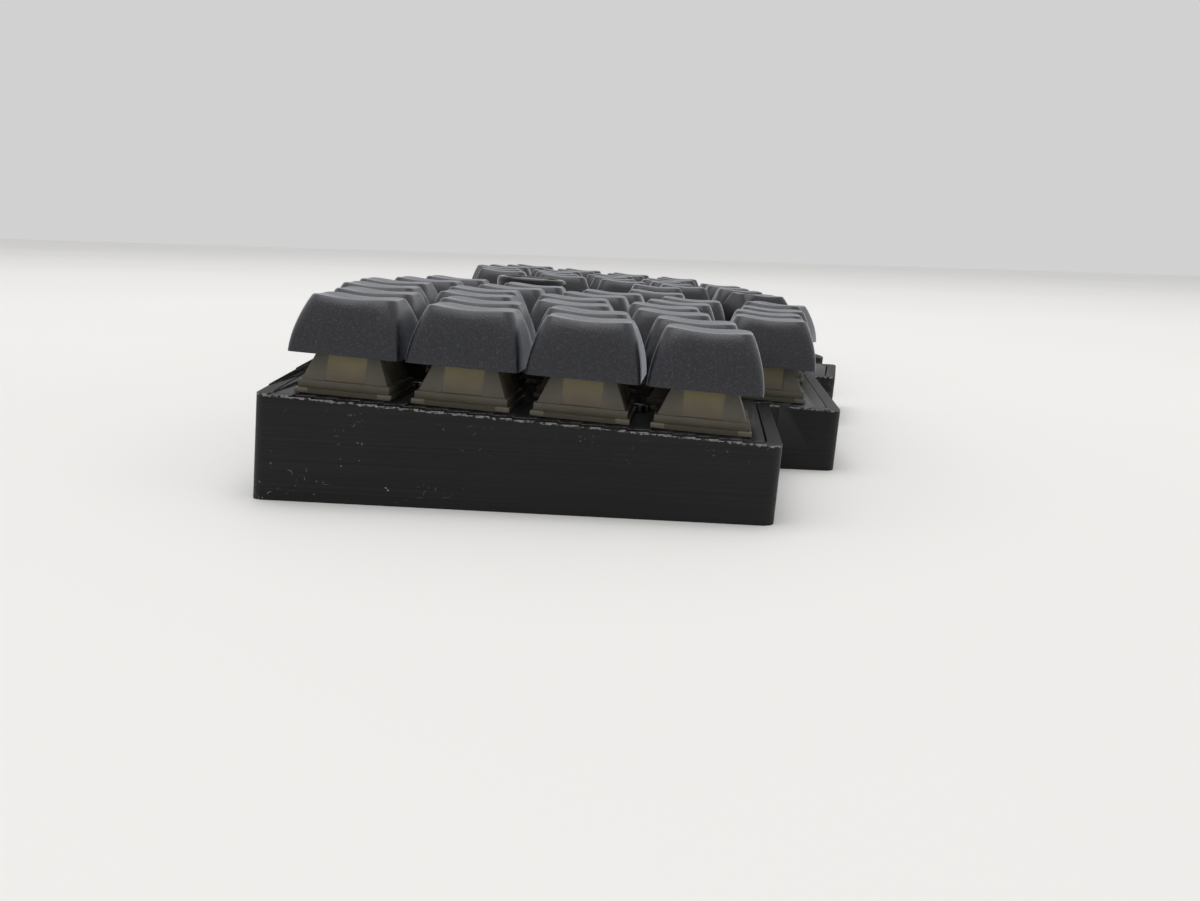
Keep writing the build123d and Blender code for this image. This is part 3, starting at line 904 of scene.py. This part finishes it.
# %% Assemble the hood
hood_unit = shape_hood()
cut_away(hood_unit, hood_hollow())
window = add_block("window", (*WINDOW, HOOD_END), (0, 0, HOOD_END))
bpy.ops.object.mode_set(mode="OBJECT")
cut_away(hood_unit, window)
hood_unit.data.materials.append(milky)
hood_unit.data.materials.append(painted_glow)
take_up(hood_unit)
bpy.ops.object.mode_set(mode="EDIT")
# The panels over the stem take the finish with the painted glow.
pick("FACE", glows)
hood_unit.active_material_index = 1
bpy.ops.object.material_slot_assign()
bpy.ops.object.mode_set(mode="OBJECT")
clips = [add_clip(side, radians(turn)) for side in (-1, 1) for turn in (-90, 90)]
hood_unit = join_up([hood_unit, *clips], "hood_unit")
smooth_over(hood_unit, 25)

# %% Place the keys and hoods
def key_node(side, name):
    """The node that holds a key."""
    if side == "left":
        return f"key_left_{name}"
    if name == "inner":
        return "key_right_inner"
    return "keys_right_thumb" if name.startswith("thumb") else "keys_right_" + name[: name.index("_row")]


for side in ("left", "right"):
    for name, (place, turn) in key_cells.items():
        node = key_node(side, name)
        for unit, word in ((cap_unit, "keycap"), (stem_unit, "stem")):
            piece = copy_to(unit, f"{word}_{side}_{name}", stand(place, turn, side))
            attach(piece, body_of[node])
            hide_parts(node)
    hoods = [copy_to(hood_unit, f"hood_{side}", stand(*spot, side)) for spot in key_cells.values()]
    hoods = join_up(hoods, f"switch_hoods_{side}")
    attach(hoods, "root")
    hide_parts(f"switch_tops_{side}")
for unit in (cap_unit, stem_unit, hood_unit):
    bpy.data.objects.remove(unit)
print("keycaps", 2 * len(key_cells))

# %% [markdown]
# The knob
#
# The knob is a polished black cap with a rounded rim and a shallow flat dish on top. A round bar
# is bevelled at both ends, its top is drawn in by an inset and sunk, and a fine groove runs round
# it a little below its middle. Its underside is hollow, so that it clears the encoder's bush.

# %% Knob
KNOB_RADIUS = 9.0 * MM
KNOB_RIM = 1.0 * MM
KNOB_RECESS = 6.5 * MM
KNOB_RECESS_TOP = 8.0 * MM
SHAFT_RADIUS = 3.0 * MM
SHAFT_END = 14.85 * MM
KNOB_FOOT_EDGE = 0.4 * MM
KNOB_TOP_MARGIN = 0.5 * MM
KNOB_DISH_SLOPE = 0.3 * MM
KNOB_DISH_DEPTH = 0.25 * MM
GROOVE = (4.9 * MM, 5.3 * MM)
GROOVE_SLOPE = 0.08 * MM
GROOVE_DEPTH = 0.15 * MM


def cutter_bar(name, radius, low, high):
    bar = add_round(name, radius, low, high, 64)
    bpy.ops.object.mode_set(mode="OBJECT")
    return bar


def make_knob():
    knob = add_round("knob", KNOB_RADIUS, KNOB_BOTTOM, KNOB_TOP, 96)
    pick("FACE", faces_up)
    bpy.ops.mesh.bevel(offset=KNOB_RIM, segments=6, affect="EDGES")
    pick("FACE", lambda face: near(middle_of(face).z, KNOB_TOP))
    bpy.ops.mesh.inset(thickness=KNOB_TOP_MARGIN)
    bpy.ops.mesh.inset(thickness=KNOB_DISH_SLOPE, depth=-KNOB_DISH_DEPTH)
    pick("FACE", faces_down)
    bpy.ops.mesh.bevel(offset=KNOB_FOOT_EDGE, segments=3, affect="EDGES")
    for height in GROOVE:
        cut_all((0, 0, KNOB_BOTTOM + height), (0, 0, 1))
    pick("FACE", lambda face: GROOVE[0] < middle_of(face).z - KNOB_BOTTOM < GROOVE[1])
    bpy.ops.mesh.inset(thickness=GROOVE_SLOPE, depth=-GROOVE_DEPTH, use_select_inset=False)
    bpy.ops.object.mode_set(mode="OBJECT")
    cut_away(knob, cutter_bar("recess", KNOB_RECESS, KNOB_BOTTOM - KNOB_RIM, KNOB_RECESS_TOP))
    cut_away(knob, cutter_bar("bore", SHAFT_RADIUS + CLEARANCE, KNOB_BOTTOM, SHAFT_END))
    smooth_over(knob, 25)
    return knob


def gloss_finish():
    look = Finish("knob_gloss", 0.14, 0.35)
    look.link(look.ramp(look.noise(300.0), [(0.3, tone(6)), (0.7, tone(11))]), "Base Color")
    look.link(look.between(look.noise(90.0), 0.3, 0.7, 0.08, 0.16), "Roughness")
    look.bump(look.noise(900.0, 2), 0.004 * MM, 0.3)
    return look.material


knob = make_knob()
knob.data.materials.append(gloss_finish())
knob.data.transform(stand(cell(*KNOB_CELL), 0, "left"))
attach(knob, body_of["encoder_knob"])
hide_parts("encoder_knob")

# %% [markdown]
# Finishes of the solids that stay
#
# The pieces under the plate hardly show, but the model can be turned and opened, so each has a
# finish: matt black mouldings, satin steel ports and shaft, blackened plate screws, plated
# contacts and inserts, and dark boards. The switch bases share the milky plastic of their hoods.

# %% Paint the inner pieces
def moulded(name, level, roughness, grain=900.0):
    look = Finish(name, roughness)
    look.link(look.ramp(look.noise(grain), [(0.3, tone(level)), (0.7, tone(level + 8))]), "Base Color")
    look.bump(look.noise(3 * grain, 2), 0.015 * MM, 0.5)
    return look.material


def metal(name, colour, roughness):
    look = Finish(name, roughness, metallic=1.0)
    worn = tuple(0.75 * part for part in colour)
    look.link(look.ramp(look.noise(700.0), [(0.35, worn), (0.65, colour)]), "Base Color")
    look.link(look.between(look.noise(250.0), 0.3, 0.7, roughness - 0.06, roughness + 0.1), "Roughness")
    look.bump(look.noise(2400.0, 2), 0.01 * MM, 0.5)
    return look.material


black_moulding = moulded("black_moulding", 26, 0.5)
board_mask = moulded("board_mask", 20, 0.28, 300.0)
satin_steel = metal("satin_steel", (0.5, 0.5, 0.51), 0.28)
blackened_steel = metal("blackened_steel", (0.1, 0.1, 0.105), 0.26)
plated_brass = metal("plated_brass", (0.75, 0.55, 0.24), 0.3)
finishes = {
    milky: ("switch_bases_left", "switch_bases_right"),
    board_mask: ("circuit_board_left", "circuit_board_right", "controller_boards"),
    black_moulding: ("switch_sockets", "diodes", "link_jacks", "encoder_plunger"),
    satin_steel: ("usb_ports", "encoder_body", "encoder_shaft"),
    blackened_steel: ("plate_screws",),
    plated_brass: ("switch_contacts", "threaded_inserts"),
}
for material, group in finishes.items():
    for node in group:
        nodes[node].data.materials.clear()
        nodes[node].data.materials.append(material)
    print(material.name, len(group))

# %% [markdown]
# Wound springs
#
# A coil spring of fine wire stands on the floor of each switch and carries the stem by its seat.
# The frame draws all of them as plain sleeves in one node, which can't shorten key by key. So one
# spring is wound here from a small ring by a Screw modifier and copied to each switch. Each copy
# has a mesh of its own and stays fixed with the case, so it does not shorten with its key.

# %% Springs
SPRING_FOOT = -4.0 * MM
SPRING_RADIUS = 1.9 * MM
WIRE_RADIUS = 0.13 * MM
COILS = 11
COIL_STEPS = 16
WIRE_SIDES = 6


def make_spring():
    """One spring, wound from a ring of wire that stands on its foot."""
    clear_selection()
    length = SEAT - SPRING_FOOT - 2 * WIRE_RADIUS
    start = (SPRING_RADIUS, 0, SPRING_FOOT + WIRE_RADIUS)
    bpy.ops.mesh.primitive_circle_add(
        vertices=WIRE_SIDES,
        radius=WIRE_RADIUS,
        fill_type="NOTHING",
        location=start,
        rotation=(radians(90), 0, 0),
    )
    spring = bpy.context.object
    spring.name = "spring_unit"
    bpy.ops.object.transform_apply(location=True, rotation=True, scale=False)
    apply_modifier(
        spring,
        "SCREW",
        screw_offset=length / COILS,
        iterations=COILS,
        steps=COIL_STEPS,
        render_steps=COIL_STEPS,
    )
    bpy.ops.object.mode_set(mode="EDIT")
    bpy.ops.mesh.select_all(action="SELECT")
    bpy.ops.mesh.fill_holes(sides=WIRE_SIDES)
    bpy.ops.object.mode_set(mode="OBJECT")
    smooth_over(spring, 70)
    spring.data.materials.append(satin_steel)
    return spring


spring_unit = make_spring()
for side in ("left", "right"):
    for name, spot in key_cells.items():
        matrix = stand(*spot, side)
        spring = copy_to(spring_unit, f"spring_{side}_{name}", matrix)
        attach(spring, "root")
        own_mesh(spring)
        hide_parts("switch_springs")
bpy.data.objects.remove(spring_unit)
print("springs", 2 * len(key_cells))

# %% [markdown]
# Table and light
#
# A plain white table and an even pale room keep the light plain. One broad lamp overhead gives
# the soft shadow under each half, and the room gives the pale shine along the keycaps.

# %% Table and light
TABLE_SIZE = 6
ROOM_COLOUR = (0.64, 0.64, 0.645, 1)
LAMP_PLACE = (0.15, 0.1, 1.5)
LAMP_AIM = (0, 0, 0)
LAMP_SIZE = 1.4
LAMP_POWER = 10

clear_selection()
bpy.ops.mesh.primitive_plane_add(size=TABLE_SIZE)
table = bpy.context.object
table.name = "table"
table_look = Finish("table_white", 0.7, 0.2)
table_stops = [(0.3, tone(243, 0, -1, -4)), (0.7, tone(246, 0, -1, -4))]
table_look.link(table_look.ramp(table_look.noise(3.0), table_stops), "Base Color")
table.data.materials.append(table_look.material)

world = bpy.data.worlds.new("room")
bpy.context.scene.world = world
world.use_nodes = True
background = world.node_tree.nodes["Background"]
background.inputs["Color"].default_value = ROOM_COLOUR
background.inputs["Strength"].default_value = 1.0


def add_lamp(name, place, aim, size, power):
    """A square soft lamp that looks at a point."""
    lamp = bpy.data.lights.new(name, "AREA")
    lamp.size = size
    lamp.energy = power
    holder = bpy.data.objects.new(name, lamp)
    bpy.context.scene.collection.objects.link(holder)
    holder.location = place
    holder.rotation_euler = (Vector(aim) - Vector(place)).to_track_quat("-Z", "Y").to_euler()


add_lamp("ceiling_lamp", LAMP_PLACE, LAMP_AIM, LAMP_SIZE, LAMP_POWER)

# %% [markdown]
# The camera
#
# The camera stands at the outer end of the left half, just above the caps, and looks along the
# rows. It was fitted to corners of the case and caps, so its small roll is real.

# %% Camera
CAMERA_PLACE = Vector((-325.887, -10.251, 41.722)) * MM
CAMERA_YAW = radians(2.507)
CAMERA_PITCH = radians(-10.171)
CAMERA_ROLL = radians(1.751)
CAMERA_LENS = 34.753
SENSOR_WIDTH = 36
NEAR_CLIP = 0.01

ahead = Matrix.Rotation(CAMERA_YAW, 3, "Z") @ Vector((cos(CAMERA_PITCH), 0, sin(CAMERA_PITCH)))
level_right = ahead.cross((0, 0, 1)).normalized()
level_up = level_right.cross(ahead)
right = level_right * cos(CAMERA_ROLL) + level_up * sin(CAMERA_ROLL)
up = level_up * cos(CAMERA_ROLL) - level_right * sin(CAMERA_ROLL)
camera = bpy.data.objects.new("camera", bpy.data.cameras.new("camera"))
bpy.context.scene.collection.objects.link(camera)
facing = Matrix((right, up, -ahead)).transposed().to_4x4()
camera.matrix_world = Matrix.Translation(CAMERA_PLACE) @ facing
camera.data.lens = CAMERA_LENS
camera.data.sensor_width = SENSOR_WIDTH
camera.data.clip_start = NEAR_CLIP
bpy.context.scene.camera = camera
bpy.context.scene.view_settings.view_transform = "Standard"
